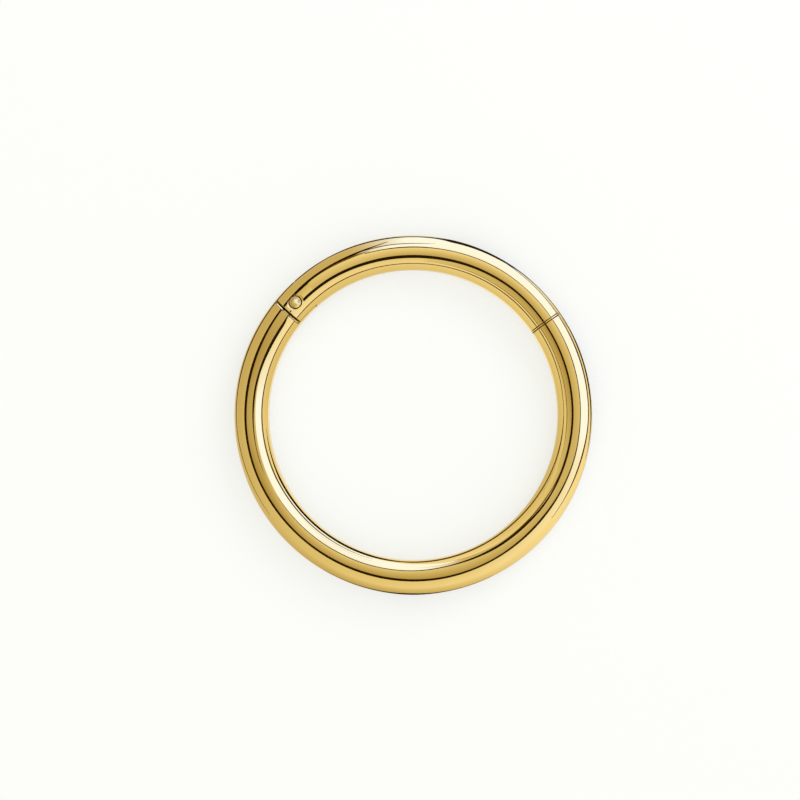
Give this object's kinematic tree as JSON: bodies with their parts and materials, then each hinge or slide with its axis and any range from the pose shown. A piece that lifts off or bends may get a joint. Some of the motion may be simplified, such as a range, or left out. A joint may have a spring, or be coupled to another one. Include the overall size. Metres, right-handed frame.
{
  "type": "clicker hoop",
  "caption": "Round hinged hoop of polished gold-coloured wire for a piercing, with a short gate that swings outwards on a domed pin and clicks shut.",
  "frame": {"origin": "middle of the ring, on the surface that its back face lies on", "axes": "+Z along the ring's axis, out of the face with the pin's head; +Y towards the middle of the gate, up in the picture; +X to the picture's right"},
  "size_m": [0.0124, 0.0124, 0.0013],
  "materials": {
    "polished_gold": "mirror-polished yellow gold plating over steel wire",
    "pin_gold": "burnished yellow gold rivet head"
  },
  "bodies": {
    "fixed": {"fixed_arc": "polished_gold"},
    "gate": {"gate_arc": "polished_gold", "hinge_pin": "pin_gold"}
  },
  "joints": [
    {"name": "gate_hinge", "type": "hinge", "parent": "fixed", "child": "gate", "pos_m": [-0.00401, 0.0039, 0.0006], "axis": [0, 0, 1], "range_deg": [0, 75]}
  ]
}
